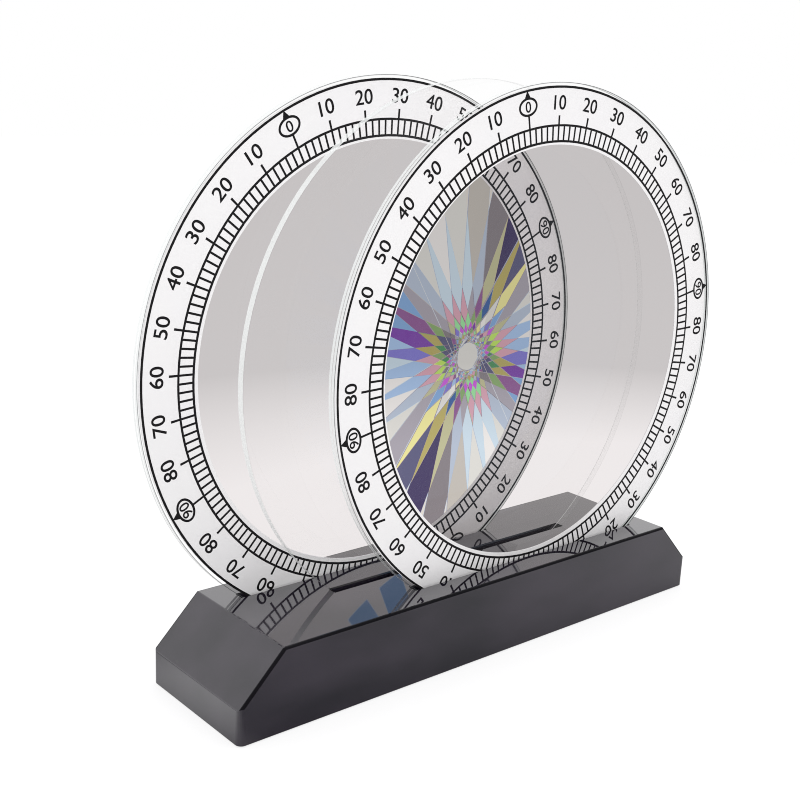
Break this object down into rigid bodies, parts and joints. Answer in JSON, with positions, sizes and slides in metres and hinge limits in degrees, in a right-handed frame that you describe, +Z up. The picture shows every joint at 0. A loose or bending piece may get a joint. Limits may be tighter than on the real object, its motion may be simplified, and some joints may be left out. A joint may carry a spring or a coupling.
{
  "type": "polarization demonstrator",
  "caption": "Bench stand with two graduated polarizer discs and a birefringent film disc between them, each turning in its own slot of a low black base.",
  "frame": {"origin": "middle of the base's footprint, on the table", "axes": "+X along the base, to the right for someone reading the front scale; +Y from the front disc to the rear disc; +Z up"},
  "size_m": [0.278, 0.06, 0.23],
  "materials": {
    "base_plastic": "gloss",
    "inner_plastic": "matt",
    "screw_steel": "zinc plated",
    "foot_rubber": "matt",
    "clear_acrylic": "polished",
    "white_ring": "printed",
    "scale_ink": "printed",
    "polarizing_film": "clear",
    "clear_film": "clear"
  },
  "bodies": {
    "base": {"base_housing": "base_plastic", "base_cover": "inner_plastic", "rear_cradle": "inner_plastic", "middle_cradle": "inner_plastic", "front_cradle": "inner_plastic", "cradle_screws": "screw_steel", "cover_screws": "screw_steel", "rubber_feet": "foot_rubber"},
    "rear_disc": {"rear_front_plate": "clear_acrylic", "rear_scale_ring": "white_ring", "rear_scale_marks": "scale_ink", "rear_polarizer": "polarizing_film", "rear_back_plate": "clear_acrylic"},
    "sample_disc": {"sample_front_plate": "clear_acrylic", "sample_spacer": "clear_acrylic", "sample_back_plate": "clear_acrylic", "film_strip_01": "clear_film", "film_strip_02": "clear_film", "film_strip_03": "clear_film", "film_strip_04": "clear_film", "film_strip_05": "clear_film", "film_strip_06": "clear_film", "film_strip_07": "clear_film", "film_strip_08": "clear_film", "film_strip_09": "clear_film", "film_strip_10": "clear_film", "film_strip_11": "clear_film", "film_strip_12": "clear_film", "film_strip_13": "clear_film", "film_strip_14": "clear_film", "film_strip_15": "clear_film", "film_strip_16": "clear_film"},
    "front_disc": {"front_front_plate": "clear_acrylic", "front_scale_ring": "white_ring", "front_scale_marks": "scale_ink", "front_polarizer": "polarizing_film", "front_back_plate": "clear_acrylic"}
  },
  "joints": [
    {"name": "rear_disc_turn", "type": "hinge", "parent": "base", "child": "rear_disc", "pos_m": [-0.03, 0.0165, 0.121], "axis": [0, -1, 0], "continuous": true},
    {"name": "sample_disc_turn", "type": "hinge", "parent": "base", "child": "sample_disc", "pos_m": [0.0025, 0, 0.121], "axis": [0, -1, 0], "continuous": true},
    {"name": "front_disc_turn", "type": "hinge", "parent": "base", "child": "front_disc", "pos_m": [0.03, -0.0165, 0.121], "axis": [0, -1, 0], "continuous": true}
  ]
}
